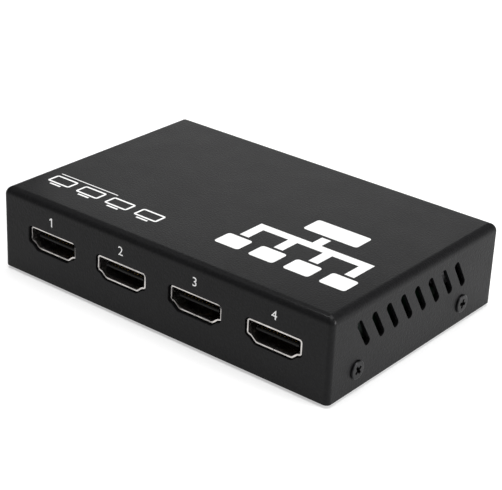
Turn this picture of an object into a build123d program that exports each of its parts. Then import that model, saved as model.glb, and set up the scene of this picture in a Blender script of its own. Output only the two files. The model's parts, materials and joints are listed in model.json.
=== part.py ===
from build123d import *
import os

# A small sheet-metal video splitter: four output sockets in front, one input
# socket, a power socket, a power switch and a power lamp behind, all carried
# by one circuit board on a base plate under a five-sided cover.
# The front is -Y, +X runs to the right along the row of outputs and +Z is up.
# Every piece is built about the middle of the case at its lower edge, then
# moved so that the feet stand at zero and the whole lies about the origin.

# Case: a folded steel cover with wide upper bends and tighter uprights
case_width = 97.0
case_depth = 65.0
case_height = 20.6
sheet = 1.0
bend_radius = 2.0
upright_radius = 1.2
cut_overrun = 1.5

# Vents: slanted slots in both side walls, spread evenly from front to rear
vent_count = 8
vent_length = 8.1
vent_width = 1.9
vent_tilt = 32.0
vent_front = 11.45
vent_rear = 15.75
vent_height = 13.0

# Base plate: flat, with a flange up each side wall
base_sheet = 1.0
base_gap = 0.1
base_bend_radius = 1.8
base_end_gap = 2.5
flange_height = 8.5
collar_radius = 2.4
collar_reach = 1.1

# Screws: how a cross-recess screw of this thread looks
thread_radius = 1.45
thread_gap = 0.05
screw_hole_gap = 0.25
screw_tip_chamfer = 0.4
recess_span = 2.3
recess_width = 0.75
recess_depth = 1.0
recess_taper = 12.0

# Cover screws: low heads, two to a side, measured from the front and the rear
cover_head_radius = 2.2
cover_head_height = 0.5
cover_head_round = 0.3
cover_screw_length = 4.0
cover_screw_height = 4.8
cover_screw_front = 9.9
cover_screw_rear = 13.8
cover_screw_front_turn = 35.0
cover_screw_rear_turn = -15.0

# Feet: round rubber pads under the base plate
foot_radius = 4.0
foot_height = 0.8
foot_chamfer = 0.25
foot_inset = 12.0

# Circuit board, by its gaps to the walls, and what holds it
board_side_gap = 3.5
board_end_gap = 0.5
board_thickness = 1.6
board_corner_radius = 1.5
standoff_flats = 5.0
standoff_shank_radius = 2.1
standoff_bore_depth = 4.2
board_hole_gap = 0.2
board_head_radius = 2.75
board_head_height = 1.8
board_head_round = 0.8
board_screw_length = 5.0
front_standoff_inset = 20.0
rear_standoff_inset = 4.5
side_standoff_inset = 3.5

# Video socket shell: rolled sheet, wide above and stepped in below
socket_width = 14.0
socket_height = 4.55
socket_side = 3.1
shoulder_run = 0.9
shoulder_drop = 0.27
slope_run = 1.4
socket_corner_radius = 0.45
shoulder_radius = 0.3
hollow_radius = 0.9
heel_radius = 0.7
shell_wall = 0.35
shell_length = 11.2
shell_lift = 0.05
shell_seam = 0.12
leg_width = 0.9
leg_stub = 0.5
leg_first = 2.4
leg_pitch = 6.0
leg_gap = 0.2
tail_window_length = 2.4
tail_window_height = 1.0
finger_width = 2.0
finger_length = 4.6
finger_slit = 0.3
finger_start = 2.2
finger_spacing = 6.4

# Video socket insulator: a block with a tongue that holds the contacts
insulator_gap = 0.05
insulator_block_length = 3.8
tongue_width = 11.4
tongue_thickness = 0.8
tongue_setback = 1.1
tongue_lift = 0.15
tongue_chamfer = 0.2

# Video socket contacts: ten above the tongue and nine below it
contact_count = 19
contact_pitch = 0.5
contact_width = 0.3
contact_thickness = 0.12
contact_setback = 0.5
contact_foot = 1.2
upper_drop = 0.6
lower_drop = 1.4

# Places of the sockets in the walls
output_count = 4
output_end_inset = 15.5
output_row_offset = 0.5
socket_middle_height = 10.15
cutout_gap = 0.35
near_setback = 0.38
far_setback = 0.65
rear_setback = 0.15

# Places along the rear wall, as shares of the case's width from its middle
input_share = -0.145
lamp_share = 0.04
switch_share = 0.155
jack_share = 0.3

# Power socket: a board-mounted barrel jack
jack_width = 9.0
jack_axis_height = 6.5
jack_length = 14.2
jack_collar_length = 3.4
jack_neck_step = 0.6
jack_bore_radius = 3.15
jack_bore_depth = 10.0
jack_pin_radius = 1.0
jack_pin_setback = 1.0
jack_pin_gap = 0.02
jack_root_radius = 0.8
jack_tab_width = 2.6
jack_tab_thickness = 0.4
jack_hole_radius = 4.0
jack_tab_stub = 2.2
jack_spring_width = 2.2
jack_spring_thickness = 0.3
jack_spring_slot = 2.8
jack_spring_front = 3.6
jack_spring_rear = 8.6
jack_spring_lift = 0.25
jack_spring_dip = 0.5
jack_slot_margin = 0.6

# Power switch: a slide switch with its lever through the rear wall
switch_length = 8.6
switch_height = 4.2
switch_depth = 4.0
switch_wall = 0.3
switch_floor = 1.9
switch_travel = 2.0
switch_play = 0.05
shoe_length = 4.0
shoe_depth = 1.2
shoe_gap = 0.12
lever_width = 1.8
lever_height = 1.8
lever_reach = 1.0
lever_round = 0.3
lever_window_gap = 0.15
lever_slot_gap = 0.5
bridge_length = 3.2
bridge_width = 1.0
bridge_thickness = 0.12
terminal_count = 3
terminal_pitch = 2.5
terminal_width = 0.6
terminal_thickness = 0.3
terminal_rise = 1.0
terminal_out = 0.8
terminal_stub = 2.0

# Power lamp: a round lamp lying on its side, with two bent leads
lamp_radius = 1.5
lamp_flange_radius = 1.9
lamp_flange_length = 0.8
lamp_body_length = 2.6
lamp_axis_height = 3.4
lamp_hole_gap = 0.1
lamp_lead_size = 0.5
lamp_lead_pitch = 2.54
lamp_lead_run = 2.6
lamp_lead_stub = 2.0

# Splitter chip, with its leads, pad and finned heatsink
chip_size = 14.0
chip_height = 1.4
chip_lift = 0.1
chip_middle_y = 1.7
chip_bevel = 0.3
lead_count = 10
lead_pitch = 1.2
lead_width = 0.4
lead_reach = 1.0
lead_thickness = 0.15
lead_rise = 0.7
pad_size = 13.0
pad_thickness = 0.5
heatsink_size = 22.0
heatsink_base = 1.5
heatsink_height = 7.0
fin_count = 8
fin_thickness = 1.0

# Smaller parts on the board, placed across it by shares of its width
input_chip_size = 7.0
input_chip_height = 0.9
input_chip_gap = 1.0
memory_length = 5.0
memory_width = 4.0
memory_height = 1.5
memory_share = -0.26
memory_y = 3.5
memory_pitch = 8.0
memory_lead_count = 4
memory_lead_pitch = 1.2
crystal_length = 11.0
crystal_width = 4.6
crystal_height = 3.5
crystal_share = 0.37
crystal_y = -6.5
inductor_size = 7.0
inductor_height = 4.0
inductor_round = 1.2
inductor_share = 0.34
inductor_y = 3.5
regulator_length = 6.5
regulator_width = 3.5
regulator_height = 1.7
regulator_share = 0.2
regulator_y = 4.0
regulator_pitch = 8.0
regulator_lead_pitch = 2.3
regulator_lead_count = 3
regulator_tab_width = 3.0
can_radius = 3.15
can_height = 5.0
can_bevel = 0.4
can_base_size = 6.6
can_base_height = 0.5
can_base_chamfer = 1.6
edge_can_side = 3.6
edge_can_rear = 12.4
far_can_side = 4.5
can_pitch = 8.0
small_length = 2.0
small_width = 1.25
small_height = 0.6
array_length = 3.0
array_width = 1.5
array_height = 0.9
array_gap = 1.3
array_spread = 6.0
resistor_count = 4
resistor_gap = 3.2
resistor_spread = 4.0
capacitor_gap = 0.3

# Worked out from the sizes above
half_width = case_width / 2
half_depth = case_depth / 2
vent_pitch = (case_depth - vent_front - vent_rear) / (vent_count - 1)
output_pitch = (case_width - 2 * output_end_inset) / (output_count - 1)
board_width = case_width - 2 * (sheet + board_side_gap)
board_depth = case_depth - 2 * (sheet + board_end_gap)
shell_outer_height = socket_height + 2 * shell_wall
board_top = socket_middle_height - shell_outer_height / 2 - shell_lift
board_bottom = board_top - board_thickness
socket_axis = shell_lift + shell_outer_height / 2
tongue_middle = socket_axis + tongue_lift
rear_face = half_depth - sheet - rear_setback
rear_wall_reach = sheet + rear_setback
input_place = input_share * case_width
lamp_place = lamp_share * case_width
switch_place = switch_share * case_width
jack_place = jack_share * case_width


def cut_length(depth):
    """Length of a cutter that runs past both faces of a wall."""
    return depth + 2 * cut_overrun


def row(count, pitch):
    """Places of a row of equal steps about zero."""
    return [(i - (count - 1) / 2) * pitch for i in range(count)]


def bar(radius, start, end, height):
    """Round bar along Y from start to end, at a height above the board."""
    middle = (start + end) / 2
    return Pos(0, middle, height) * Rot(90, 0, 0) * Cylinder(radius, end - start)


def block(width, start, end, low, high, x=0):
    """Block about x, from start to end along Y and from low to high along Z."""
    place = Pos(x, (start + end) / 2, (low + high) / 2)
    return place * Box(width, end - start, high - low)


def strip(points, thickness, width, x=0):
    """Bent strip about x, whose middle line runs through points of Y and Z."""
    face = Plane.YZ * trace(Polyline(*points), line_width=thickness)
    return Pos(x, 0, 0) * extrude(face, amount=width / 2, both=True)


def output_locations():
    """Mouth of each output socket at the board's top; every other one sits deeper."""
    setbacks = [far_setback, near_setback]
    return [
        Pos(output_row_offset + x, setbacks[i % len(setbacks)] - half_depth, board_top)
        for i, x in enumerate(row(output_count, output_pitch))
    ]


def rear_location(x):
    """Mouth of a rear part, turned so that its depth runs towards the front."""
    return Pos(x, rear_face, board_top) * Rot(0, 0, 180)


def on_board(x, y):
    """A spot on the board's upper face."""
    return Pos(x, y, board_top)


def cover_screw_locations():
    """Outer face of the wall under each cover screw, with +Z pointing out of it."""
    places = []
    for side in (1, -1):
        for y, turn in (
            (cover_screw_front - half_depth, cover_screw_front_turn),
            (half_depth - cover_screw_rear, cover_screw_rear_turn),
        ):
            spot = Pos(side * half_width, y, cover_screw_height)
            places.append(spot * Rot(0, side * 90, 0) * Rot(0, 0, turn))
    return places


def standoff_places():
    """Two standoffs behind the outputs and two in the board's rear corners."""
    front = front_standoff_inset - half_depth
    rear = board_depth / 2 - rear_standoff_inset
    corner = board_width / 2 - side_standoff_inset
    inner = output_pitch
    return [
        (output_row_offset - inner, front),
        (output_row_offset + inner, front),
        (-corner, rear),
        (corner, rear),
    ]


def socket_outline(grow=0):
    """Opening of a video socket, seen from its mouth and grown outwards all round."""
    half = socket_width / 2
    top = socket_height / 2
    shoulder = top - socket_side
    right = [
        (half, top),
        (half, shoulder),
        (half - shoulder_run, shoulder - shoulder_drop),
        (half - shoulder_run - slope_run, -top),
    ]
    radii = [socket_corner_radius, shoulder_radius, hollow_radius, heel_radius]
    left = [(-x, z) for x, z in reversed(right)]
    line = FilletPolyline(*right, *left, radius=radii + radii[::-1], close=True)
    face = Pos(0, 0, socket_axis) * (Plane.XZ * make_face(line))
    return offset(face, amount=grow) if grow else face


def socket_prism(grow, start, end):
    """Solid of the socket's outline between two depths behind its mouth."""
    return Pos(0, start, 0) * extrude(socket_outline(grow), amount=start - end)


def vent_cutter():
    """One slanted slot through a side wall, drawn about zero."""
    slot = Rot(0, 0, 90 + vent_tilt) * SlotOverall(vent_length, vent_width)
    return extrude(Plane.YZ * slot, amount=cut_length(sheet) / 2, both=True)


def hood(inset, low, high):
    """Block of the case's outline, set in by a wall, with its bends and uprights rounded."""
    width = case_width - 2 * inset
    depth = case_depth - 2 * inset
    body = Pos(0, 0, (low + high) / 2) * Box(width, depth, high - low)
    body = fillet(body.edges().group_by(Axis.Z)[-1], bend_radius - inset)
    uprights = body.edges().filter_by(Axis.Z) + body.edges().filter_by(GeomType.ELLIPSE)
    return fillet(uprights, upright_radius - inset)


def cover():
    """Five-sided cover: walls and top in one sheet, with every opening cut."""
    body = hood(0, 0, case_height) - hood(sheet, -cut_overrun, case_height - sheet)
    cutters = []
    for place in output_locations():
        cutters.append(place * socket_prism(cutout_gap + shell_wall, -cut_overrun, cut_overrun))
    mouth = rear_location(input_place)
    cutters.append(mouth * socket_prism(cutout_gap + shell_wall, -cut_length(sheet), cut_overrun / 2))
    reach = cut_length(sheet)
    jack = rear_location(jack_place)
    cutters.append(jack * bar(jack_hole_radius, -reach, cut_overrun / 2, jack_axis_height))
    lamp = rear_location(lamp_place)
    cutters.append(lamp * bar(lamp_radius + lamp_hole_gap, -reach, cut_overrun / 2, lamp_axis_height))
    cutters.append(rear_location(switch_place) * lever_passage(lever_slot_gap, -reach, cut_overrun / 2))
    for side in (-1, 1):
        for i in range(vent_count):
            y = vent_front + i * vent_pitch - half_depth
            cutters.append(Pos(side * half_width, y, vent_height) * vent_cutter())
    hole = Cylinder(thread_radius + screw_hole_gap, cut_length(sheet))
    cutters += [place * hole for place in cover_screw_locations()]
    return body - cutters


def base_plate():
    """Flat plate with a flange up each side and a drawn collar behind every screw."""
    width = case_width - 2 * (sheet + base_gap)
    depth = case_depth - 2 * (sheet + base_gap)
    run = depth - 2 * base_end_gap
    outside = Rectangle(width, flange_height)
    outside = fillet(outside.vertices().group_by(Axis.Y)[0], base_bend_radius)
    inside = Pos(0, base_sheet) * Rectangle(width - 2 * base_sheet, flange_height)
    inside = fillet(inside.vertices().group_by(Axis.Y)[0], base_bend_radius - base_sheet)
    channel = extrude(Plane.XZ * (outside - inside), amount=run / 2, both=True)
    plate = Pos(0, 0, base_sheet / 2) * Box(width - 2 * base_bend_radius, depth, base_sheet)
    body = Pos(0, 0, flange_height / 2) * channel + plate
    wall = sheet + base_gap
    collar_length = base_sheet + collar_reach
    collar = Pos(0, 0, -wall - collar_length / 2) * Cylinder(collar_radius, collar_length)
    bore = Cylinder(thread_radius + thread_gap, cut_length(wall + collar_length) * 2)
    places = cover_screw_locations()
    body = body + [place * collar for place in places]
    body = body - [place * bore for place in places]
    shank = Cylinder(standoff_shank_radius, cut_length(base_sheet))
    return body - [Pos(x, y, base_sheet / 2) * shank for x, y in standoff_places()]


def cross_recess():
    """Tapered cross cut down into a screw head whose top is at zero."""
    arm = Rectangle(recess_span, recess_width)
    cross = arm + Rot(0, 0, 90) * arm
    return extrude(cross, amount=-recess_depth, taper=recess_taper)


def screw(head_radius, head_height, head_round, length):
    """Cross-recess screw with the underside of its head at zero, pointing down."""
    head = Pos(0, 0, head_height / 2) * Cylinder(head_radius, head_height)
    head = fillet(head.edges().group_by(Axis.Z)[-1], head_round)
    shank = Pos(0, 0, -length / 2) * Cylinder(thread_radius, length)
    shank = chamfer(shank.edges().group_by(Axis.Z)[0], screw_tip_chamfer)
    return head + shank - Pos(0, 0, head_height) * cross_recess()


def cover_screws():
    one = screw(cover_head_radius, cover_head_height, cover_head_round, cover_screw_length)
    return [place * one for place in cover_screw_locations()]


def board_screws():
    one = screw(board_head_radius, board_head_height, board_head_round, board_screw_length)
    return [on_board(x, y) * one for x, y in standoff_places()]


def feet():
    """Round pads under the four corners of the base plate."""
    pad = Pos(0, 0, -foot_height / 2) * Cylinder(foot_radius, foot_height)
    pad = chamfer(pad.edges().group_by(Axis.Z)[0], foot_chamfer)
    x = half_width - foot_inset
    y = half_depth - foot_inset
    return [Pos(i * x, j * y, 0) * pad for i in (-1, 1) for j in (-1, 1)]


def board_standoffs():
    """Hexagonal pillars clinched into the base plate, threaded from above."""
    height = board_bottom - base_sheet
    apothem = standoff_flats / 2
    hexagon = RegularPolygon(apothem, 6, major_radius=False)
    pillar = Pos(0, 0, base_sheet) * extrude(hexagon, amount=height)
    shank = Pos(0, 0, base_sheet / 2) * Cylinder(standoff_shank_radius, base_sheet)
    bore = Cylinder(thread_radius + thread_gap, standoff_bore_depth)
    bore = Pos(0, 0, board_bottom - standoff_bore_depth / 2) * bore
    one = pillar + shank - bore
    return [Pos(x, y, 0) * one for x, y in standoff_places()]


def circuit_board():
    """Bare board with its screw holes and a slot for every leg that passes it."""
    outline = RectangleRounded(board_width, board_depth, board_corner_radius)
    board = Pos(0, 0, board_bottom) * extrude(outline, amount=board_thickness)
    reach = cut_length(board_thickness)
    hole = Cylinder(thread_radius + board_hole_gap, reach)
    middle = board_bottom + board_thickness / 2
    cutters = [Pos(x, y, middle) * hole for x, y in standoff_places()]
    for place in output_locations() + [rear_location(input_place)]:
        cutters += [place * slot for slot in shell_legs(leg_gap)]
    cutters += [rear_location(jack_place) * slot for slot in jack_slots()]
    cutters += [rear_location(switch_place) * slot for slot in switch_slots()]
    cutters += [rear_location(lamp_place) * slot for slot in lamp_slots()]
    return board - cutters


def shell_legs(gap=0):
    """Four legs of a socket's shell, or the slots for them with a gap all round."""
    x = socket_width / 2 + shell_wall / 2
    legs = []
    for side in (-1, 1):
        for i in range(2):
            y = leg_first + i * leg_pitch
            low = -board_thickness - leg_stub
            start = y - leg_width / 2 - gap
            end = y + leg_width / 2 + gap
            legs.append(block(shell_wall + 2 * gap, start, end, low - gap, socket_axis, side * x))
    return legs


def spring_fingers():
    """Slits that free two fingers in the shell's upper wall, rooted at the mouth."""
    high = socket_axis + shell_outer_height / 2
    low = high - shell_wall
    free_end = finger_start + finger_length
    slits = []
    for x in (-finger_spacing / 2, finger_spacing / 2):
        around = block(
            finger_width + 2 * finger_slit,
            finger_start,
            free_end + finger_slit,
            low - finger_slit,
            high + finger_slit,
            x,
        )
        finger = block(finger_width, finger_start, free_end, low - finger_slit, high + finger_slit, x)
        slits.append(around - finger)
    return slits


def socket_shell():
    """Rolled shell with its seam, legs, spring fingers and folded rear wall."""
    outer = socket_prism(shell_wall, 0, shell_length)
    body = outer - socket_prism(0, -cut_overrun, shell_length - shell_wall)
    seam_top = shell_lift + shell_wall + shell_seam
    seam = block(shell_seam, -cut_overrun, shell_length, -cut_overrun, seam_top)
    window_start = shell_length - tail_window_length
    window = block(
        tongue_width,
        window_start,
        shell_length + cut_overrun,
        -cut_overrun,
        shell_lift + tail_window_height,
    )
    body = body + shell_legs()
    return body - [seam, window] - spring_fingers()


def socket_insulator():
    """Block that fills the back of the shell, with the tongue standing forward of it."""
    start = shell_length - shell_wall - insulator_block_length
    body = socket_prism(-insulator_gap, start, shell_length - shell_wall - insulator_gap)
    half = tongue_thickness / 2
    tongue = block(tongue_width, tongue_setback, start, tongue_middle - half, tongue_middle + half)
    tip = tongue.edges().filter_by(Axis.X).group_by(Axis.Y)[0]
    return body + chamfer(tip, tongue_chamfer)


def contact(level, drop):
    """Blade along the tongue, down through the block and out along the board."""
    start = tongue_setback + contact_setback
    back = shell_length - drop
    half = contact_thickness / 2
    foot_end = shell_length + contact_foot
    return strip(
        [(start, level), (back, level), (back, half), (foot_end, half)],
        contact_thickness,
        contact_width,
    )


def socket_contacts():
    """Two rows of contacts, the lower ones between the upper ones."""
    step = (tongue_thickness + contact_thickness) / 2
    upper = contact(tongue_middle + step, upper_drop)
    lower = contact(tongue_middle - step, lower_drop)
    places = row(contact_count, contact_pitch)
    return [Pos(x, 0, 0) * (lower if i % 2 else upper) for i, x in enumerate(places)]


def arch(radius):
    """Outline of the power socket: upright sides under a half circle."""
    side = Pos(0, jack_axis_height / 2) * Rectangle(2 * radius, jack_axis_height)
    return Plane.XZ * (side + Pos(0, jack_axis_height) * Circle(radius))


def jack_body():
    """Moulded body with a collar, its bore and the passage for the side spring."""
    radius = jack_width / 2
    body = extrude(arch(radius), amount=-jack_collar_length)
    body = body + extrude(arch(radius - jack_neck_step), amount=-jack_length)
    bore = bar(jack_bore_radius, -cut_overrun, jack_bore_depth, jack_axis_height)
    root = bar(jack_root_radius + jack_pin_gap, 0, jack_length + cut_overrun, jack_axis_height)
    passage = block(
        jack_spring_slot,
        jack_spring_front - jack_slot_margin,
        jack_spring_rear + jack_slot_margin,
        -cut_overrun,
        jack_axis_height,
    )
    return body - [bore, root, passage]


def jack_pin():
    """Centre pin whose root is riveted to the tab that goes down through the board."""
    back = jack_length + jack_tab_thickness
    pin = bar(jack_pin_radius, jack_pin_setback, jack_bore_depth, jack_axis_height)
    pin = fillet(pin.edges().group_by(Axis.Y)[0], jack_pin_radius / 2)
    root = bar(jack_root_radius, jack_bore_depth, back, jack_axis_height)
    top = jack_axis_height + jack_tab_width / 2
    return pin + root + block(jack_tab_width, jack_length, back, -jack_tab_stub, top)


def jack_spring():
    """Side spring that rises into the bore to meet the plug's sleeve."""
    floor = jack_axis_height - jack_bore_radius
    middle = (jack_spring_front + jack_spring_rear) / 2
    return strip(
        [
            (jack_spring_rear, -jack_tab_stub),
            (jack_spring_rear, floor - jack_spring_dip),
            (middle, floor + jack_spring_lift),
            (jack_spring_front, floor - jack_spring_dip),
        ],
        jack_spring_thickness,
        jack_spring_width,
    )


def jack_slots():
    """Slots in the board for the power socket's tab and side spring."""
    low = -board_thickness - cut_overrun
    slots = []
    for middle, width, thickness in (
        (jack_length + jack_tab_thickness / 2, jack_tab_width, jack_tab_thickness),
        (jack_spring_rear, jack_spring_width, jack_spring_thickness),
    ):
        half = thickness / 2 + leg_gap
        slots.append(block(width + 2 * leg_gap, middle - half, middle + half, low, cut_overrun))
    return slots


def lever_passage(gap, start, end):
    """Window that the switch lever travels in, with a gap all round."""
    half = lever_height / 2 + gap
    middle = switch_height / 2
    width = lever_width + switch_travel + 2 * gap
    return block(width, start, end, middle - half, middle + half)


def switch_frame():
    """Folded metal frame around the switch, open at the back, with a leg at each end."""
    inner_width = switch_length - 2 * switch_wall
    shell = block(switch_length, 0, switch_depth, 0, switch_height)
    hollow = block(
        inner_width,
        switch_wall,
        switch_depth + cut_overrun,
        switch_wall,
        switch_height - switch_wall,
    )
    window = lever_passage(lever_window_gap, -cut_overrun, switch_wall + cut_overrun)
    return (shell - hollow - window) + switch_legs()


def switch_legs(gap=0):
    """Legs of the switch frame, or the slots for them with a gap all round."""
    x = (switch_length - switch_wall) / 2
    middle = switch_depth / 2
    half = leg_width / 2 + gap
    low = -board_thickness - leg_stub - gap
    width = switch_wall + 2 * gap
    return [block(width, middle - half, middle + half, low, switch_wall, s * x) for s in (-1, 1)]


def switch_base():
    """Moulded base: a floor behind the slider and a stop at each end of its travel."""
    width = switch_length - 2 * (switch_wall + switch_play)
    low = switch_wall + switch_play
    high = switch_height - low
    body = block(width, switch_wall + switch_play, switch_depth, low, high)
    room = shoe_length + switch_travel + 2 * switch_play
    return body - block(room, 0, switch_floor, 0, switch_height)


def switch_slider():
    """Shoe that runs between the stops, with the lever through both windows."""
    start = switch_wall + shoe_gap
    low = switch_wall + shoe_gap
    shoe = block(shoe_length, start, start + shoe_depth, low, switch_height - low)
    tip = -rear_wall_reach - lever_reach
    middle = switch_height / 2
    half = lever_height / 2
    lever = block(lever_width, tip, start, middle - half, middle + half)
    lever = fillet(lever.edges().group_by(Axis.Y)[0], lever_round)
    return Pos(switch_travel / 2, 0, 0) * (shoe + lever)


def switch_bridge():
    """Contact bridge carried on the back of the slider's shoe."""
    start = switch_wall + shoe_gap + shoe_depth
    middle = switch_height / 2
    half = bridge_width / 2
    strip_body = block(bridge_length, start, start + bridge_thickness, middle - half, middle + half)
    return Pos(switch_travel / 2, 0, 0) * strip_body


def switch_terminals():
    """Bent terminals from the back of the base down through the board."""
    out = switch_depth + terminal_out
    points = [(switch_depth, terminal_rise), (out, terminal_rise), (out, -terminal_stub)]
    one = strip(points, terminal_thickness, terminal_width)
    return [Pos(x, 0, 0) * one for x in row(terminal_count, terminal_pitch)]


def switch_slots():
    """Slots in the board for the switch's legs and terminals."""
    middle = switch_depth + terminal_out
    half = terminal_thickness / 2 + leg_gap
    width = terminal_width + 2 * leg_gap
    low = -board_thickness - cut_overrun
    slots = [
        block(width, middle - half, middle + half, low, cut_overrun, x)
        for x in row(terminal_count, terminal_pitch)
    ]
    return slots + switch_legs(leg_gap)


def power_lamp():
    """Round lamp through the rear wall, its dome level with the outer face."""
    dome = -rear_wall_reach + lamp_radius
    body_end = -rear_wall_reach + lamp_body_length
    flange_end = body_end + lamp_flange_length
    body = bar(lamp_radius, dome, body_end, lamp_axis_height)
    flange = bar(lamp_flange_radius, body_end, flange_end, lamp_axis_height)
    return body + flange + Pos(0, dome, lamp_axis_height) * Sphere(lamp_radius)


def lamp_leads():
    """Two leads out of the lamp's back, bent down through the board."""
    start = -rear_wall_reach + lamp_body_length + lamp_flange_length
    back = start + lamp_lead_run
    points = [(start, lamp_axis_height), (back, lamp_axis_height), (back, -lamp_lead_stub)]
    one = strip(points, lamp_lead_size, lamp_lead_size)
    return [Pos(x, 0, 0) * one for x in row(2, lamp_lead_pitch)]


def lamp_slots():
    """Holes in the board for the lamp's leads."""
    back = -rear_wall_reach + lamp_body_length + lamp_flange_length + lamp_lead_run
    half = lamp_lead_size / 2 + leg_gap
    low = -board_thickness - cut_overrun
    return [
        block(2 * half, back - half, back + half, low, cut_overrun, x)
        for x in row(2, lamp_lead_pitch)
    ]


def chip_lead(width):
    """Lead from a chip's side, down to a foot on the board, drawn from zero along +Y."""
    half = lead_thickness / 2
    points = [
        (0, lead_rise),
        (lead_reach / 3, lead_rise),
        (lead_reach / 2, half),
        (lead_reach, half),
    ]
    return strip(points, lead_thickness, width)


def moulded_block(length, width, height):
    """Chip body lifted just off the board, with its upper edges broken."""
    body = block(length, -width / 2, width / 2, chip_lift, chip_lift + height)
    return chamfer(body.edges().group_by(Axis.Z)[-1], chip_bevel)


def splitter_chip():
    return on_board(0, chip_middle_y) * moulded_block(chip_size, chip_size, chip_height)


def splitter_chip_leads():
    """Rows of leads along all four sides of the splitter chip."""
    one = chip_lead(lead_width)
    spot = on_board(0, chip_middle_y)
    leads = []
    for turn in range(4):
        side = spot * Rot(0, 0, 90 * turn) * Pos(0, chip_size / 2, 0)
        leads += [side * Pos(x, 0, 0) * one for x in row(lead_count, lead_pitch)]
    return leads


def thermal_pad():
    top = chip_lift + chip_height
    half = pad_size / 2
    pad = block(pad_size, -half, half, top, top + pad_thickness)
    return on_board(0, chip_middle_y) * pad


def heatsink():
    """Base with upright fins that run from front to rear."""
    low = chip_lift + chip_height + pad_thickness
    half = heatsink_size / 2
    body = block(heatsink_size, -half, half, low, low + heatsink_base)
    pitch = (heatsink_size - fin_thickness) / (fin_count - 1)
    fins = [
        block(fin_thickness, -half, half, low + heatsink_base, low + heatsink_height, x)
        for x in row(fin_count, pitch)
    ]
    return on_board(0, chip_middle_y) * (body + fins)


def input_chip_location():
    """Spot behind the input socket's contacts."""
    behind = shell_length + contact_foot + input_chip_gap + input_chip_size / 2
    return on_board(input_place, rear_face - behind)


def input_chip():
    half = input_chip_size / 2
    return input_chip_location() * block(input_chip_size, -half, half, 0, input_chip_height)


def memory_locations():
    x = memory_share * board_width
    return [on_board(x, memory_y + y) for y in row(2, memory_pitch)]


def regulator_locations():
    x = regulator_share * board_width
    return [on_board(x, regulator_y + y) for y in row(2, regulator_pitch)]


def memory_chips():
    body = moulded_block(memory_length, memory_width, memory_height)
    return [place * body for place in memory_locations()]


def regulators():
    body = moulded_block(regulator_length, regulator_width, regulator_height)
    return [place * body for place in regulator_locations()]


def small_chip_leads():
    """Leads of the memory chips, and the leads and tabs of the regulators."""
    narrow = chip_lead(lead_width)
    broad = chip_lead(regulator_tab_width)
    leads = []
    for place in memory_locations():
        for turn in (0, 180):
            side = place * Rot(0, 0, turn) * Pos(0, memory_width / 2, 0)
            leads += [side * Pos(x, 0, 0) * narrow for x in row(memory_lead_count, memory_lead_pitch)]
    for place in regulator_locations():
        front = place * Rot(0, 0, 180) * Pos(0, regulator_width / 2, 0)
        pitch = regulator_lead_pitch
        leads += [front * Pos(x, 0, 0) * narrow for x in row(regulator_lead_count, pitch)]
        leads.append(place * Pos(0, regulator_width / 2, 0) * broad)
    return leads


def crystal():
    """Low metal can with round ends."""
    can = extrude(SlotOverall(crystal_length, crystal_width), amount=crystal_height)
    can = chamfer(can.edges().group_by(Axis.Z)[-1], can_bevel)
    return on_board(crystal_share * board_width, crystal_y) * can


def power_inductor():
    """Square moulded coil with rounded uprights."""
    outline = RectangleRounded(inductor_size, inductor_size, inductor_round)
    body = extrude(outline, amount=inductor_height)
    body = chamfer(body.edges().group_by(Axis.Z)[-1], chip_bevel)
    return on_board(inductor_share * board_width, inductor_y) * body


def can_locations():
    """One can by the right-hand vents and a pair on the left of the board."""
    edge = on_board(board_width / 2 - edge_can_side, half_depth - edge_can_rear)
    x = far_can_side - board_width / 2
    return [edge] + [on_board(x, chip_middle_y + y) for y in row(2, can_pitch)]


def capacitor_bases():
    """Square bases under the cans, with two corners cut."""
    outline = Rectangle(can_base_size, can_base_size)
    outline = chamfer(outline.vertices().group_by(Axis.X)[0], can_base_chamfer)
    base = extrude(outline, amount=can_base_height)
    return [place * base for place in can_locations()]


def capacitor_cans():
    can = Pos(0, 0, can_base_height + can_height / 2) * Cylinder(can_radius, can_height)
    can = chamfer(can.edges().group_by(Axis.Z)[-1], can_bevel)
    return [place * can for place in can_locations()]


def surge_arrays():
    """Two small arrays behind every output socket."""
    half = array_width / 2
    body = block(array_length, -half, half, 0, array_height)
    back = shell_length + contact_foot + array_gap
    return [
        place * Pos(x, back, 0) * body
        for place in output_locations()
        for x in row(2, array_spread)
    ]


def small_block():
    half = small_width / 2
    return block(small_length, -half, half, 0, small_height)


def chip_resistors():
    """Small resistors in a line behind the arrays of every output."""
    back = shell_length + contact_foot + resistor_gap
    return [
        place * Pos(x, back, 0) * small_block()
        for place in output_locations()
        for x in row(resistor_count, resistor_spread)
    ]


def chip_capacitors():
    """Small capacitors in front of the inductor and on both sides of the input chip."""
    middle = inductor_share * board_width
    y = inductor_y - inductor_size / 2 - small_width
    spots = [on_board(middle + x, y) for x in row(2, resistor_spread)]
    beside = input_chip_size / 2 + capacitor_gap + small_length / 2
    for side in (-1, 1):
        spots += [input_chip_location() * Pos(side * beside, y, 0) for y in row(2, resistor_spread)]
    return [spot * small_block() for spot in spots]


def save(name, shape):
    """Write one node, moved so that the feet stand at zero about the origin."""
    place = Pos(0, -lever_reach / 2, foot_height)
    pieces = shape if isinstance(shape, list) else [shape]
    solids = [solid for piece in pieces for solid in piece.solids()]
    moved = [place * solid for solid in solids]
    export_step(moved[0] if len(moved) == 1 else Compound(children=moved), f"parts/{name}.step")


def save_socket(name, place):
    """Write the three nodes of one video socket."""
    save(f"{name}_shell", place * socket_shell())
    save(f"{name}_insulator", place * socket_insulator())
    save(f"{name}_contacts", [place * piece for piece in socket_contacts()])


def save_case():
    save("cover", cover())
    save("base_plate", base_plate())
    save("cover_screws", cover_screws())
    save("feet", feet())
    save("board_standoffs", board_standoffs())
    save("circuit_board", circuit_board())
    save("board_screws", board_screws())


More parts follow.
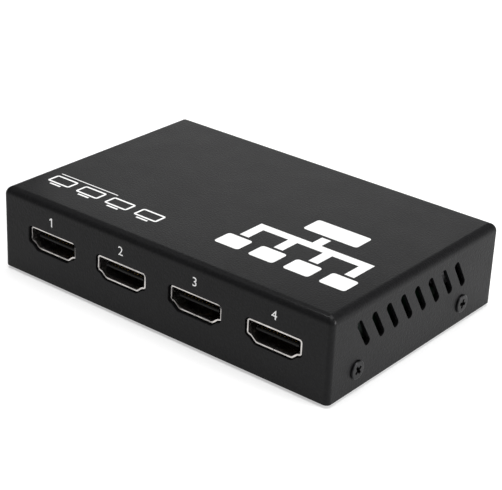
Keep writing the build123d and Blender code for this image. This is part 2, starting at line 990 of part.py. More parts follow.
def save_sockets():
    for number, place in enumerate(output_locations(), start=1):
        save_socket(f"output_{number}", place)
    save_socket("input", rear_location(input_place))
    jack = rear_location(jack_place)
    save("power_socket_body", jack * jack_body())
    save("power_socket_pin", jack * jack_pin())
    save("power_socket_spring", jack * jack_spring())


def save_rear_controls():
    switch = rear_location(switch_place)
    save("switch_frame", switch * switch_frame())
    save("switch_base", switch * switch_base())
    save("switch_slider", switch * switch_slider())
    save("switch_bridge", switch * switch_bridge())
    save("switch_terminals", [switch * piece for piece in switch_terminals()])
    lamp = rear_location(lamp_place)
    save("power_lamp", lamp * power_lamp())
    save("power_lamp_leads", [lamp * piece for piece in lamp_leads()])


def save_board_parts():
    save("splitter_chip", splitter_chip())
    save("splitter_chip_leads", splitter_chip_leads())
    save("thermal_pad", thermal_pad())
    save("heatsink", heatsink())
    save("input_chip", input_chip())
    save("memory_chips", memory_chips())
    save("regulators", regulators())
    save("small_chip_leads", small_chip_leads())
    save("crystal", crystal())
    save("power_inductor", power_inductor())
    save("capacitor_bases", capacitor_bases())
    save("capacitor_cans", capacitor_cans())
    save("surge_arrays", surge_arrays())
    save("chip_resistors", chip_resistors())
    save("chip_capacitors", chip_capacitors())


def main():
    os.makedirs("parts", exist_ok=True)
    save_case()
    save_sockets()
    save_rear_controls()
    save_board_parts()


if __name__ == "__main__":
    main()
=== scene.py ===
"""Looks for a small metal video splitter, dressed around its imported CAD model.

Every length is in metres, in the frame of the CAD model: +X runs to the right
along the row of output sockets, -Y points out of them and +Z is up.
"""

from __future__ import annotations

import json
import logging
import math
from collections.abc import Iterable
from dataclasses import dataclass, field
from enum import Enum

import bmesh
import bpy
from mathutils import Euler, Matrix, Vector

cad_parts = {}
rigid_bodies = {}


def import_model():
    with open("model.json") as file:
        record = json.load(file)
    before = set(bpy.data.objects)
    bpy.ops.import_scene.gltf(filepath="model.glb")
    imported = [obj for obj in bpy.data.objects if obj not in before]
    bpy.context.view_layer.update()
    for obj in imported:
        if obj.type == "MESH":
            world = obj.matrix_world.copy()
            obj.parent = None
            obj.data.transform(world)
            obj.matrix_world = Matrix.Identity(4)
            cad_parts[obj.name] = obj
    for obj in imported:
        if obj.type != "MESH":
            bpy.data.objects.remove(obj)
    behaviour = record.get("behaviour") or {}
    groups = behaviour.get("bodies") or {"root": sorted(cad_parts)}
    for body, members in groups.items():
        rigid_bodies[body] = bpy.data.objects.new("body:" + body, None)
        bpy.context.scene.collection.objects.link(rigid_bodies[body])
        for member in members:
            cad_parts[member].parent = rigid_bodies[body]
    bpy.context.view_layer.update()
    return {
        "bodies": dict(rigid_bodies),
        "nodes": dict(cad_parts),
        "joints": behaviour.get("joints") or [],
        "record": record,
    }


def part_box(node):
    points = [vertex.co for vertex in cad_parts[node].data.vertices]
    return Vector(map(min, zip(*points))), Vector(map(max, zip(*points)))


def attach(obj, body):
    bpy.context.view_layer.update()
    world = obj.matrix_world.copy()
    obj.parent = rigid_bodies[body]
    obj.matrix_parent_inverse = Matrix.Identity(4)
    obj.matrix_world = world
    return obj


LOG = logging.getLogger("splitter")
MM = 0.001
CASE_BODY = "case"
OUTPUT_COUNT = 4
# nearly all of a noise's values lie between these two
NOISE_LOW, NOISE_HIGH = 0.3, 0.7
# how strong a noise's finer octaves are
NOISE_ROUGHNESS = 0.55
# the plain font's numbers stand this share of its size
FONT_NUMBER_SHARE = 0.7


def linear(hex_colour: str) -> tuple[float, float, float, float]:
    """Turns an sRGB hex colour to a linear one, along the standard's own curve.

    Args:
        hex_colour: six hex digits, without a leading mark.

    Returns:
        Red, green, blue and alpha, as Blender's sockets take them.
    """
    channels = []
    for start in (0, 2, 4):
        value = int(hex_colour[start : start + 2], 16) / 255
        low = value <= 0.04045
        channels.append(value / 12.92 if low else ((value + 0.055) / 1.055) ** 2.4)
    return channels[0], channels[1], channels[2], 1.0


def add_node(
    tree: bpy.types.NodeTree, kind: str, inputs: dict | None = None, **settings: object
) -> bpy.types.Node:
    """Adds one node with its settings, values and links.

    Args:
        tree: the node tree that gets the node.
        kind: Blender's name for the node's type.
        inputs: values or sockets to link, by the name or number of the input.
        **settings: properties of the node.

    Returns:
        The new node.
    """
    node = tree.nodes.new(kind)
    for name, value in settings.items():
        setattr(node, name, value)
    for name, value in (inputs or {}).items():
        if isinstance(value, bpy.types.NodeSocket):
            tree.links.new(value, node.inputs[name])
        else:
            node.inputs[name].default_value = value
    return node


def ramp(tree: bpy.types.NodeTree, factor: bpy.types.NodeSocket, stops: list) -> bpy.types.Node:
    """Adds a colour ramp of two stops.

    Args:
        tree: the node tree that gets the ramp.
        factor: the socket that drives it.
        stops: two pairs of a place from 0 to 1 and a linear colour.

    Returns:
        The ramp node.
    """
    node = add_node(tree, "ShaderNodeValToRGB", {"Fac": factor})
    for element, (place, colour) in zip(node.color_ramp.elements, stops):
        element.position = place
        element.color = colour
    return node


class Side(Enum):
    """The two faces that carry print."""

    FRONT = "front"
    TOP = "top"


@dataclass(frozen=True)
class Finish:
    """What every finish shares: its name and the nodes that it is built from."""

    name: str

    def start(self) -> tuple[bpy.types.Material, bpy.types.NodeTree, bpy.types.Node]:
        """Makes the empty material.

        Returns:
            The material, its node tree and its Principled shader.
        """
        material = bpy.data.materials.new(self.name)
        material.use_nodes = True
        tree = material.node_tree
        return material, tree, tree.nodes["Principled BSDF"]

    def noise(
        self,
        tree: bpy.types.NodeTree,
        grain: float,
        detail: float = 2.0,
        stretch: tuple = (1, 1, 1),
    ) -> bpy.types.NodeSocket:
        """Adds a noise on Object coordinates.

        Args:
            tree: the node tree that gets the noise.
            grain: size of one grain, in metres.
            detail: octaves of finer noise.
            stretch: scale of the pattern along X, Y and Z.

        Returns:
            The noise's value, from 0 to 1.
        """
        place = add_node(tree, "ShaderNodeTexCoord").outputs["Object"]
        scaled = add_node(tree, "ShaderNodeMapping", {"Vector": place, "Scale": stretch})
        inputs = {"Vector": scaled.outputs[0], "Scale": 1 / grain}
        inputs.update({"Detail": detail, "Roughness": NOISE_ROUGHNESS})
        return add_node(tree, "ShaderNodeTexNoise", inputs).outputs["Fac"]

    def scale_range(
        self, tree: bpy.types.NodeTree, value: bpy.types.NodeSocket, low: float, high: float
    ) -> bpy.types.NodeSocket:
        """Spreads a value that varies about a half over a range.

        Args:
            tree: the node tree that gets the node.
            value: the socket that varies.
            low: result where the value is NOISE_LOW.
            high: result where the value is NOISE_HIGH.

        Returns:
            The socket of the spread value.
        """
        inputs = {"Value": value, "From Min": NOISE_LOW, "From Max": NOISE_HIGH}
        inputs.update({"To Min": low, "To Max": high})
        return add_node(tree, "ShaderNodeMapRange", inputs).outputs["Result"]

    def two_tone(
        self, tree: bpy.types.NodeTree, value: bpy.types.NodeSocket, dark: str, pale: str
    ) -> bpy.types.NodeSocket:
        """Turns a noise to a colour that wavers between two.

        Args:
            tree: the node tree that gets the ramp.
            value: the noise.
            dark: sRGB hex colour where it is low.
            pale: sRGB hex colour where it is high.

        Returns:
            The colour's socket.
        """
        stops = [(NOISE_LOW, linear(dark)), (NOISE_HIGH, linear(pale))]
        return ramp(tree, value, stops).outputs["Color"]

    def bump(
        self,
        tree: bpy.types.NodeTree,
        height: bpy.types.NodeSocket,
        depth: float,
        strength: float = 1.0,
        under: bpy.types.NodeSocket | None = None,
    ) -> bpy.types.NodeSocket:
        """Adds a bump.

        Args:
            tree: the node tree that gets the bump.
            height: the socket of the height.
            depth: full height of the bump, in metres.
            strength: share of the bump that is kept.
            under: a normal that the bump is laid on.

        Returns:
            The bumped normal.
        """
        inputs = {"Height": height, "Distance": depth, "Strength": strength}
        if under is not None:
            inputs["Normal"] = under
        return add_node(tree, "ShaderNodeBump", inputs).outputs["Normal"]


@dataclass(frozen=True)
class PowderCoat(Finish):
    """Polyester powder coat on steel, baked to a fine pebbled black.

    The eye sees a dark satin skin whose sheen is broken by grains under half a
    millimetre across, with a faint gloss that draws thin lines along the bends.
    """

    name: str = "powder_coat_black"
    dark: str = "0e0e0f"
    pale: str = "151516"
    dark_at: float = 0.35
    pale_at: float = 0.7
    grain: float = 0.42 * MM
    depth: float = 0.08 * MM
    edge: float = 0.16 * MM
    edge_samples: int = 4
    wave: float = 9 * MM
    wave_depth: float = 0.03 * MM
    wave_share: float = 0.15
    roughness_low: float = 0.4
    roughness_high: float = 0.45
    ior: float = 1.5
    sheen: float = 0.07
    gloss: float = 0.1
    gloss_roughness: float = 0.12

    def material(self) -> bpy.types.Material:
        """Builds the material.

        Returns:
            The new material.
        """
        material, tree, shader = self.start()
        cloud = self.noise(tree, self.wave, detail=3.0)
        fine = self.noise(tree, self.grain, detail=1.5)
        stops = [(self.dark_at, linear(self.dark)), (self.pale_at, linear(self.pale))]
        colour = ramp(tree, fine, stops)
        tree.links.new(colour.outputs["Color"], shader.inputs["Base Color"])
        rough = self.scale_range(tree, cloud, self.roughness_low, self.roughness_high)
        tree.links.new(rough, shader.inputs["Roughness"])
        edges = add_node(tree, "ShaderNodeBevel", {"Radius": self.edge}, samples=self.edge_samples)
        wavy = self.bump(tree, cloud, self.wave_depth, self.wave_share, edges.outputs["Normal"])
        normal = self.bump(tree, fine, self.depth, under=wavy)
        tree.links.new(normal, shader.inputs["Normal"])
        shader.inputs["IOR"].default_value = self.ior
        shader.inputs["Specular IOR Level"].default_value = self.sheen
        shader.inputs["Coat Weight"].default_value = self.gloss
        shader.inputs["Coat Roughness"].default_value = self.gloss_roughness
        return material


@dataclass(frozen=True)
class Metal(Finish):
    """Plated or drawn metal with fine lines from how it was made.

    The eye sees a satin metal whose reflections are drawn out across the lines.
    """

    name: str
    dark: str
    pale: str
    roughness: float = 0.3
    grain: float = 0.12 * MM
    stretch: tuple = (0.12, 1.0, 1.0)
    depth: float = 0.002 * MM
    stain: float = 2.5 * MM
    spread: tuple = (0.8, 1.25)

    def material(self) -> bpy.types.Material:
        """Builds the material.

        Returns:
            The new material.
        """
        material, tree, shader = self.start()
        lines = self.noise(tree, self.grain, stretch=self.stretch)
        stain = self.noise(tree, self.stain)
        colour = self.two_tone(tree, stain, self.dark, self.pale)
        tree.links.new(colour, shader.inputs["Base Color"])
        low, high = (share * self.roughness for share in self.spread)
        rough = self.scale_range(tree, lines, low, high)
        tree.links.new(rough, shader.inputs["Roughness"])
        tree.links.new(self.bump(tree, lines, self.depth), shader.inputs["Normal"])
        shader.inputs["Metallic"].default_value = 1.0
        return material


@dataclass(frozen=True)
class Moulding(Finish):
    """Plastic, rubber or ceramic, pressed in a spark-eroded tool that leaves it matt.

    The eye sees a soft, even surface with a fine stipple and a dull sheen.
    """

    name: str
    dark: str
    pale: str
    roughness: float = 0.45
    grain: float = 0.12 * MM
    depth: float = 0.003 * MM
    sheen: float = 0.5
    cloud: float = 4 * MM
    spread: tuple = (0.85, 1.15)

    def material(self) -> bpy.types.Material:
        """Builds the material.

        Returns:
            The new material.
        """
        material, tree, shader = self.start()
        stipple = self.noise(tree, self.grain)
        cloud = self.noise(tree, self.cloud)
        colour = self.two_tone(tree, cloud, self.dark, self.pale)
        tree.links.new(colour, shader.inputs["Base Color"])
        low, high = (share * self.roughness for share in self.spread)
        rough = self.scale_range(tree, stipple, low, high)
        tree.links.new(rough, shader.inputs["Roughness"])
        tree.links.new(self.bump(tree, stipple, self.depth), shader.inputs["Normal"])
        shader.inputs["Specular IOR Level"].default_value = self.sheen
        return material


@dataclass(frozen=True)
class SolderMask(Finish):
    """Glass-epoxy laminate under a green solder mask, with tracks that show through.

    The eye sees a glossy green with paler bands where copper lies beneath.
    """

    name: str = "solder_mask_green"
    bare: str = "06180e"
    over_copper: str = "0f3421"
    bare_at: float = 0.3
    copper_at: float = 0.34
    track_pitch: float = 1.27 * MM
    wander: float = 3.0
    wander_scale: float = 60.0
    field_size: float = 14 * MM
    copper_depth: float = 0.02 * MM
    copper_share: float = 0.3
    roughness: float = 0.34
    sheen: float = 0.25

    def material(self) -> bpy.types.Material:
        """Builds the material.

        Returns:
            The new material.
        """
        material, tree, shader = self.start()
        place = add_node(tree, "ShaderNodeTexCoord").outputs["Object"]
        fields = self.noise(tree, self.field_size, detail=0.0)
        # Blender's bands along an axis lie 0.31 apart at a scale of one, its diagonal ones wider
        inputs = {"Vector": place, "Scale": 0.31 / self.track_pitch}
        inputs.update({"Distortion": self.wander, "Detail Scale": self.wander_scale})
        bands = add_node(tree, "ShaderNodeTexWave", inputs, bands_direction="DIAGONAL")
        factors = {0: bands.outputs["Fac"], 1: fields}
        tracks = add_node(tree, "ShaderNodeMath", factors, operation="MULTIPLY").outputs[0]
        stops = [(self.bare_at, linear(self.bare)), (self.copper_at, linear(self.over_copper))]
        colour = ramp(tree, tracks, stops)
        tree.links.new(colour.outputs["Color"], shader.inputs["Base Color"])
        raised = self.bump(tree, tracks, self.copper_depth, self.copper_share)
        tree.links.new(raised, shader.inputs["Normal"])
        shader.inputs["Roughness"].default_value = self.roughness
        shader.inputs["Specular IOR Level"].default_value = self.sheen
        return material


@dataclass(frozen=True)
class ClearResin(Finish):
    """Cast clear-tinted epoxy of a lamp, glossy and deep.

    The eye sees a tinted bead with a bright rim and a darker heart.
    """

    name: str = "lamp_resin_red"
    deep: str = "a81d14"
    tint: str = "c8281e"
    cloud: float = 1.2 * MM
    roughness: float = 0.08
    ior: float = 1.54
    clearness: float = 0.35

    def material(self) -> bpy.types.Material:
        """Builds the material.

        Returns:
            The new material.
        """
        material, tree, shader = self.start()
        cloud = self.noise(tree, self.cloud, detail=1.0)
        colour = self.two_tone(tree, cloud, self.deep, self.tint)
        tree.links.new(colour, shader.inputs["Base Color"])
        shader.inputs["Roughness"].default_value = self.roughness
        shader.inputs["IOR"].default_value = self.ior
        shader.inputs["Transmission Weight"].default_value = self.clearness
        return material


@dataclass(frozen=True)
class ScreenInk(Finish):
    """White screen-print ink on the coat, thin enough to follow its grain.

    The eye sees a flat, dense white with a faint mottle.
    """

    name: str = "screen_ink_white"
    dark: str = "dadada"
    pale: str = "f0f0ef"
    pale_at: float = 0.65
    grain: float = 0.34 * MM
    depth: float = 0.008 * MM
    roughness: float = 0.55

    def material(self) -> bpy.types.Material:
        """Builds the material.

        Returns:
            The new material.
        """
        material, tree, shader = self.start()
        mottle = self.noise(tree, self.grain)
        stops = [(NOISE_LOW, linear(self.dark)), (self.pale_at, linear(self.pale))]
        colour = ramp(tree, mottle, stops)
        tree.links.new(colour.outputs["Color"], shader.inputs["Base Color"])
        tree.links.new(self.bump(tree, mottle, self.depth), shader.inputs["Normal"])
        shader.inputs["Roughness"].default_value = self.roughness
        return material


class Finishes:
    """The part's finishes by material slot, each made once."""

    def __init__(self) -> None:
        """Makes every material."""
        finishes = {
            "black_coat": PowderCoat(),
            # black zinc plate on rolled steel: a dark metal with soft, short highlights
            "black_screw": Metal("zinc_black", "1f1f20", "2d2d2e", 0.34, 0.1 * MM, (1, 1, 1)),
            # pressed and vulcanised rubber: a dead matt black with a coarse grain
            "foot_rubber": Moulding(
                "rubber_black", "101010", "1b1b1b", 0.8, 0.3 * MM, 0.02 * MM, 0.4
            ),
            # bright zinc plate on cold-rolled sheet: a pale, cool grey lined by the rolls
            "zinc_steel": Metal("zinc_bright", "9a9ca0", "c4c5c4", 0.28),
            # drawn brass bar: a warm yellow with fine lines along its length
            "standoff_brass": Metal(
                "brass_turned", "a8843f", "c9a55a", 0.25, 0.1 * MM, (1, 1, 0.1)
            ),
            "board_laminate": SolderMask(),
            # satin nickel plate on rolled strip: a warm, pale grey with drawn-out highlights
            "shell_nickel": Metal("nickel_satin", "a3a09e", "cecac7", 0.3),
            # moulded glass-filled nylon: a deep black with hardly any sheen
            "black_moulding": Moulding("moulding_black", "0c0c0c", "151515", 0.5, sheen=0.15),
            # thin gold plate on stamped bronze, with lines along each contact; its yellow is
            # painted much darker than gold, as painted shade of the socket's recess
            "contact_gold": Metal(
                "gold_flash_painted_shade", "7d6434", "a88b50", 0.38, 0.1 * MM, (1, 0.1, 1)
            ),
            "lamp_resin": ClearResin(),
            # transfer-moulded epoxy: a charcoal with a fine stipple
            "chip_epoxy": Moulding("epoxy_black", "161617", "222224", 0.55),
            # hot-dipped tin on stamped leads: a pale, slightly uneven silver
            "tinned_lead": Metal("tin_dipped", "a9aaab", "c9c9c7", 0.35, 0.2 * MM, (1, 1, 1)),
            # filled silicone, rolled to a sheet: a soft, flat blue-grey
            "pad_grey": Moulding("silicone_grey", "8a8f95", "a0a5aa", 0.7),
            # extruded and anodised aluminium: a soft near-black with lines along the fins
            "heatsink_alloy": Metal(
                "anodised_black", "151516", "222223", 0.4, 0.12 * MM, (1, 0.1, 1)
            ),
            # drawn and blasted aluminium: a pale, even grey without lines
            "can_alloy": Metal("alloy_blasted", "cfd0d2", "ececec", 0.75, 0.15 * MM, (1, 1, 1)),
            # pressed and sintered ferrite: a rough dark grey
            "ferrite": Moulding("ferrite_grey", "2e2e30", "414144", 0.6, 0.25 * MM, 0.01 * MM),
            # sintered ceramic: a dull, even tan
            "chip_ceramic": Moulding("ceramic_tan", "7c6142", "9a7a55", 0.4),
        }
        self.by_slot = {slot: finish.material() for slot, finish in finishes.items()}
        self.ink = ScreenInk().material()


@dataclass
class Dresser:
    """Puts the finishes on the CAD nodes and keeps count of what it dressed."""

    frame: dict
    finishes: Finishes
    dressed: list = field(default_factory=list)

    def dress(self, node: str) -> None:
        """Gives a CAD node the finish of its material slot.

        Args:
            node: the node's name.
        """
        rows = self.frame["record"]["subparts"]
        slot = next(row["material_slot"] for row in rows if row["node"] == node)
        mesh = self.frame["nodes"][node].data
        mesh.materials.clear()
        mesh.materials.append(self.finishes.by_slot[slot])
        self.dressed.append(node)
        LOG.info("dressed %s with %s", node, slot)

    def dress_all(self, nodes: Iterable[str]) -> None:
        """Dresses several nodes.

        Args:
            nodes: the nodes' names.
        """
        for node in nodes:
            self.dress(node)


def piece_from(
    name: str, shape: bmesh.types.BMesh, material: bpy.types.Material
) -> bpy.types.Object:
    """Turns a finished bmesh into a piece at the origin.

    Args:
        name: the piece's name.
        shape: the bmesh, which is freed.
        material: its only material.

    Returns:
        The linked object.
    """
    mesh = bpy.data.meshes.new(name)
    shape.to_mesh(mesh)
    shape.free()
    mesh.materials.append(material)
    piece = bpy.data.objects.new(name, mesh)
    bpy.context.scene.collection.objects.link(piece)
    return piece


@dataclass(frozen=True)
class BranchLayout:
    """Where the large sign lies on the lid: a source block, its branches and their ends."""

    left: float = 6.8 * MM
    right: float = 42.7 * MM
    rear: float = 3.9 * MM
    front: float = -21.4 * MM
    source_size: tuple = (15.0 * MM, 6.2 * MM)
    end_size: tuple = (6.9 * MM, 5.6 * MM)
    rounding: float = 0.8 * MM
    line: float = 2.5 * MM
    bar_y: float = -8.2 * MM
    gap: float = 1.0 * MM


@dataclass(frozen=True)
class ScreenLayout:
    """Where the row of small screens lies on the lid, with the thin line behind it."""

    left: float = -43.7 * MM
    middle_y: float = -21.4 * MM
    size: tuple = (7.0 * MM, 3.9 * MM)
    rounding: float = 0.7 * MM
    stroke: float = 0.55 * MM
    pitch: float = 9.3 * MM
    foot_width: float = 3.4 * MM
    foot_drop: float = 0.75 * MM
    line_right: float = -25.2 * MM
    line_y: float = -18.3 * MM
    line_width: float = 0.3 * MM


@dataclass
class Print:
    """White print on the coat: numbers over the outputs and signs on the lid.

    The front face lies at the Y of front, the lid's at the Z of top.
    """

    material: bpy.types.Material
    front: float
    top: float
    proud: float = 0.012 * MM
    sunk: float = 0.02 * MM
    number_height: float = 2.2 * MM
    number_drop: float = 4.55 * MM
    branch: BranchLayout = BranchLayout()
    screens: ScreenLayout = ScreenLayout()

    def matrix(self, side: Side) -> Matrix:
        """Turns a flat drawing, with +Z out of the print, onto one face.

        Args:
            side: the face that carries it.

        Returns:
            The matrix that places the drawing.
        """
        if side is Side.FRONT:
            return Matrix.Translation((0, self.front, 0)) @ Matrix.Rotation(math.pi / 2, 4, "X")
        return Matrix.Translation((0, 0, self.top))

    def lay(self, name: str, shape: bmesh.types.BMesh, side: Side) -> None:
        """Gives a flat drawing the ink's thickness and lays it on its face.

        Args:
            name: the piece's name.
            shape: flat faces at height zero that point up.
            side: the face that carries them.
        """
        bmesh.ops.translate(shape, verts=shape.verts, vec=(0, 0, -self.sunk))
        made = bmesh.ops.extrude_face_region(shape, geom=shape.faces[:])
        rise = [v for v in made["geom"] if isinstance(v, bmesh.types.BMVert)]
        bmesh.ops.translate(shape, verts=rise, vec=(0, 0, self.sunk + self.proud))
        bmesh.ops.recalc_face_normals(shape, faces=shape.faces)
        bmesh.ops.transform(shape, matrix=self.matrix(side), verts=shape.verts)
        piece = piece_from(name, shape, self.material)
        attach(piece, CASE_BODY)
        LOG.info("printed %s on the %s", name, side.value)

    def outline(
        self, shape: bmesh.types.BMesh, points: list, rounding: float
    ) -> bmesh.types.BMFace:
        """Adds one flat outline with rounded corners.

        Args:
            shape: the drawing that gets it.
            points: its corners as pairs of X and Y, turning left.
            rounding: radius taken off each corner.

        Returns:
            The new face.
        """
        known = set(shape.faces)
        corners = [shape.verts.new((x, y, 0)) for x, y in points]
        face = shape.faces.new(corners)
        if rounding:
            bmesh.ops.bevel(
                shape,
                geom=list(face.verts),
                offset=rounding,
                offset_type="OFFSET",
                segments=4,
                profile=0.5,
                affect="VERTICES",
                material=-1,
            )
        return next(f for f in shape.faces if f not in known)

    def block(
        self, shape: bmesh.types.BMesh, middle: tuple, size: tuple, rounding: float
    ) -> bmesh.types.BMFace:
        """Adds a flat rounded block.

        Args:
            shape: the drawing that gets it.
            middle: its middle, as X and Y.
            size: its width and height.
            rounding: radius of its corners.

        Returns:
            The new face.
        """
        x, y = middle
        half_x, half_y = size[0] / 2, size[1] / 2
        signs = ((-1, -1), (1, -1), (1, 1), (-1, 1))
        return self.outline(shape, [(x + i * half_x, y + j * half_y) for i, j in signs], rounding)

    def one_points(self) -> list[tuple[float, float]]:
        """Lists the corners of a one with a flag, which the plain font's lacks.

        Returns:
            Pairs of X and Y about the middle, turning left.
        """
        top = self.number_height / 2
        right, left, tip = 0.24 * MM, -0.1 * MM, -0.58 * MM
        tip_high, tip_low, joint = top - 0.36 * MM, top - 0.74 * MM, top - 0.44 * MM
        flag = [(left, top), (tip, tip_high), (tip, tip_low), (left, joint)]
        return [(right, -top), (right, top), *flag, (left, -top)]

    def font_shape(self, text: str) -> bmesh.types.BMesh:
        """Draws a number in Blender's plain font.

        Args:
            text: the number.

        Returns:
            Its flat faces about the middle, pointing up.
        """
        curve = bpy.data.curves.new("number", "FONT")
        curve.body = text
        curve.align_x = "CENTER"
        curve.align_y = "CENTER"
        curve.size = self.number_height / FONT_NUMBER_SHARE
        curve.resolution_u = 4
        holder = bpy.data.objects.new("number", curve)
        bpy.context.scene.collection.objects.link(holder)
        bpy.context.view_layer.update()
        flat = bpy.data.meshes.new_from_object(holder)
        bpy.data.objects.remove(holder)
        shape = bmesh.new()
        shape.from_mesh(flat)
        bpy.data.meshes.remove(flat)
        bmesh.ops.remove_doubles(shape, verts=shape.verts, dist=0.001 * MM)
        flip = [f for f in shape.faces if f.normal.z < 0]
        bmesh.ops.reverse_faces(shape, faces=flip)
        return shape

    def number(self, text: str, x: float) -> None:
        """Prints one number over an output.

        Args:
            text: the number.
            x: the output's middle.
        """
        if text == "1":
            shape = bmesh.new()
            self.outline(shape, self.one_points(), 0)
        else:
            shape = self.font_shape(text)
        middle = (x, self.top - self.number_drop, 0)
        bmesh.ops.translate(shape, verts=shape.verts, vec=middle)
        self.lay(f"output_number_{text}", shape, Side.FRONT)

    def numbers(self, middles: list[float]) -> None:
        """Prints a number over every output.

        Args:
            middles: the outputs' middles along X, from the left.
        """
        for i, x in enumerate(middles, start=1):
            self.number(str(i), x)

    def branch_points(self, places: list[float], middle: float) -> list[tuple[float, float]]:
        """Lists the corners of the large sign's branching line.

        Args:
            places: middles of its ends along X, from the left.
            middle: middle of its stem along X.

        Returns:
            Pairs of X and Y, turning left.
        """
        sign = self.branch
        half = sign.line / 2
        high, low = sign.bar_y + half, sign.bar_y - half
        stem = sign.rear - sign.source_size[1] - sign.gap
        foot = sign.front + sign.end_size[1] + sign.gap
        points = [(middle + half, stem), (middle - half, stem)]
        points += [(middle - half, high), (places[0] - half, high)]
        for x in places:
            if x > places[0]:
                points.append((x - half, low))
            points += [(x - half, foot), (x + half, foot)]
            if x < places[-1]:
                points.append((x + half, low))
        return [*points, (places[-1] + half, high), (middle + half, high)]

    def branch_sign(self) -> None:
        """Prints the large sign: one input that splits to four outputs."""
        sign = self.branch
        end_width, end_height = sign.end_size
        pitch = (sign.right - sign.left - end_width) / (OUTPUT_COUNT - 1)
        places = [sign.left + end_width / 2 + i * pitch for i in range(OUTPUT_COUNT)]
        middle = (sign.left + sign.right) / 2
        shape = bmesh.new()
        self.outline(shape, self.branch_points(places, middle), 0)
        for x in places:
            self.block(shape, (x, sign.front + end_height / 2), sign.end_size, sign.rounding)
        source_y = sign.rear - sign.source_size[1] / 2
        self.block(shape, (middle, source_y), sign.source_size, sign.rounding)
        self.lay("branch_sign", shape, Side.TOP)

    def screen_row(self) -> None:
        """Prints the row of small screens, one for each output."""
        row = self.screens
        width, height = row.size
        shape = bmesh.new()
        for i in range(OUTPUT_COUNT):
            x = row.left + width / 2 + i * row.pitch
            face = self.block(shape, (x, row.middle_y), row.size, row.rounding)
            bmesh.ops.inset_region(
                shape,
                faces=[face],
                thickness=row.stroke,
                use_boundary=True,
                use_even_offset=True,
            )
            bmesh.ops.delete(shape, geom=[face], context="FACES_ONLY")
            foot_y = row.middle_y - height / 2 - row.foot_drop
            self.block(shape, (x, foot_y), (row.foot_width, row.stroke), 0)
        self.lay("screen_row", shape, Side.TOP)

    def thin_line(self) -> None:
        """Prints the thin line behind the row of screens."""
        row = self.screens
        middle = (row.left + row.line_right) / 2
        size = (row.line_right - row.left, row.line_width)
        shape = bmesh.new()
        self.block(shape, (middle, row.line_y), size, 0)
        self.lay("lid_line", shape, Side.TOP)


@dataclass
class Case:
    """The folded case with its screws and feet, and the print on it."""

    dresser: Dresser
    nodes: tuple = ("cover", "base_plate", "cover_screws", "feet")

    def build(self) -> None:
        """Dresses the case and prints on it."""
        self.dresser.dress_all(self.nodes)
        low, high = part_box("cover")
        ink = Print(self.dresser.finishes.ink, front=low.y, top=high.z)
        middles = []
        for i in range(OUTPUT_COUNT):
            left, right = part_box(f"output_{i + 1}_shell")
            middles.append((left.x + right.x) / 2)
        ink.numbers(middles)
        ink.branch_sign()
        ink.screen_row()
        ink.thin_line()


@dataclass
class VideoSocket:
    """One video socket: shell, insulator and contacts."""

    dresser: Dresser
    name: str
    parts: tuple = ("shell", "insulator", "contacts")

    def build(self) -> None:
        """Dresses the three nodes."""
        self.dresser.dress_all(f"{self.name}_{part}" for part in self.parts)


@dataclass
class RearControls:
    """Power socket, switch and lamp along the rear wall."""

    dresser: Dresser
    power: tuple = ("power_socket_body", "power_socket_pin", "power_socket_spring")
    switch: tuple = (
        "switch_frame",
        "switch_base",
        "switch_slider",
        "switch_bridge",
        "switch_terminals",
    )
    lamp: tuple = ("power_lamp", "power_lamp_leads")

    def build(self) -> None:
        """Dresses the three groups."""
        self.dresser.dress_all([*self.power, *self.switch, *self.lamp])


@dataclass
class Board:
    """The circuit board, what holds it and what it carries."""

    dresser: Dresser
    holders: tuple = ("board_standoffs", "circuit_board", "board_screws")
    cooled: tuple = ("splitter_chip", "splitter_chip_leads", "thermal_pad", "heatsink")
    chips: tuple = ("input_chip", "memory_chips", "regulators", "small_chip_leads", "surge_arrays")
    passive: tuple = (
        "crystal",
        "power_inductor",
        "capacitor_bases",
        "capacitor_cans",
        "chip_resistors",
        "chip_capacitors",
    )

    def build(self) -> None:
        """Dresses every node of the board."""
        self.dresser.dress_all([*self.holders, *self.cooled, *self.chips, *self.passive])


@dataclass(frozen=True)
class Softbox:
    """A rectangular soft light: its middle, aim and size in metres, its power in watts."""

    name: str
    place: tuple
    aim: tuple
    size: tuple
    power: float

    def hang(self) -> None:
        """Hangs the light and turns it to its aim."""
        light = bpy.data.lights.new(self.name, "AREA")
        light.shape = "RECTANGLE"
        light.size, light.size_y = self.size
        light.energy = self.power
        lamp = bpy.data.objects.new(self.name, light)
        lamp.location = self.place
        toward = Vector(self.aim) - Vector(self.place)
        lamp.rotation_euler = toward.to_track_quat("-Z", "Y").to_euler()
        bpy.context.scene.collection.objects.link(lamp)


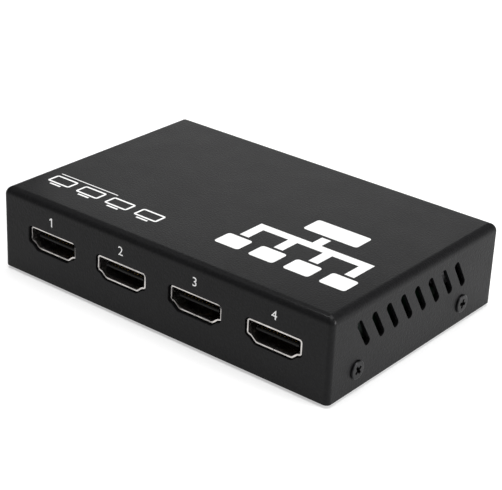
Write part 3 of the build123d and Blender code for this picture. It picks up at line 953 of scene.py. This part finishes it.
@dataclass
class Studio:
    """Floor, lights, surroundings and camera."""

    floor_half: float = 15.0
    floor_colour: str = "d0d0d0"
    floor_glow: float = 0.7
    floor_roughness: float = 0.9
    floor_sheen: float = 0.1
    surroundings: float = 0.25
    softboxes: tuple = (
        # an even wash on the lid and on the floor around
        Softbox("overhead", (0, 0, 1.2), (0, 0, 0), (1.0, 1.0), 15.0),
        # lifts the side with the vents, toward its rear
        Softbox("right_side", (1.0, 0.32, 0.3), (0.1, 0.03, 0), (0.5, 0.5), 10.7),
        # brightens the lid a little toward its far edge
        Softbox("behind", (-0.7, 1.02, 0.45), (0, 0, 0.02), (0.6, 0.4), 0.98),
        # draws the short streak by the corner of lid, front and side
        Softbox("left_high", (-0.4, -0.2, 0.89), (0.045, -0.03, 0.02), (0.1, 0.1), 0.9),
    )
    camera_place: tuple = (0.20515, -0.26277, 0.17015)
    camera_turn: tuple = (64.401, -2.3715, 39.005)
    lens: float = 111.59
    sensor: float = 36.0
    clip: tuple = (0.01, 20.0)

    def floor(self) -> None:
        """Lays a plain pale floor under the feet, opal acrylic lit faintly from below."""
        shape = bmesh.new()
        bmesh.ops.create_grid(shape, x_segments=2, y_segments=2, size=self.floor_half)
        material = bpy.data.materials.new("floor_pale")
        material.use_nodes = True
        shader = material.node_tree.nodes["Principled BSDF"]
        shader.inputs["Base Color"].default_value = linear(self.floor_colour)
        shader.inputs["Roughness"].default_value = self.floor_roughness
        shader.inputs["Specular IOR Level"].default_value = self.floor_sheen
        shader.inputs["Emission Color"].default_value = linear(self.floor_colour)
        shader.inputs["Emission Strength"].default_value = self.floor_glow
        piece_from("floor", shape, material)

    def light(self) -> None:
        """Sets the even surroundings and the soft lights."""
        world = bpy.data.worlds.new("surroundings")
        bpy.context.scene.world = world
        world.use_nodes = True
        back = world.node_tree.nodes["Background"]
        back.inputs["Color"].default_value = (1, 1, 1, 1)
        back.inputs["Strength"].default_value = self.surroundings
        for softbox in self.softboxes:
            softbox.hang()

    def camera(self) -> None:
        """Sets the camera at the place and angle that the box's outline gives."""
        data = bpy.data.cameras.new("camera")
        data.sensor_width = self.sensor
        data.lens = self.lens
        camera = bpy.data.objects.new("camera", data)
        camera.location = self.camera_place
        camera.rotation_euler = Euler([math.radians(a) for a in self.camera_turn], "XYZ")
        data.clip_start, data.clip_end = self.clip
        bpy.context.scene.collection.objects.link(camera)
        bpy.context.scene.camera = camera

    def build(self) -> None:
        """Sets up the whole studio."""
        self.floor()
        self.light()
        self.camera()
        bpy.context.scene.view_settings.view_transform = "Standard"


def main() -> None:
    """Loads the frame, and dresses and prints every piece."""
    logging.basicConfig(level=logging.INFO, format="%(name)s: %(message)s")
    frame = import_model()
    dresser = Dresser(frame, Finishes())
    Studio().build()
    Case(dresser).build()
    for i in range(OUTPUT_COUNT):
        VideoSocket(dresser, f"output_{i + 1}").build()
    VideoSocket(dresser, "input").build()
    RearControls(dresser).build()
    Board(dresser).build()
    left_out = sorted(set(frame["nodes"]) - set(dresser.dressed))
    LOG.info("%d nodes dressed, left out: %s", len(dresser.dressed), left_out)


if __name__ == "__main__":
    main()
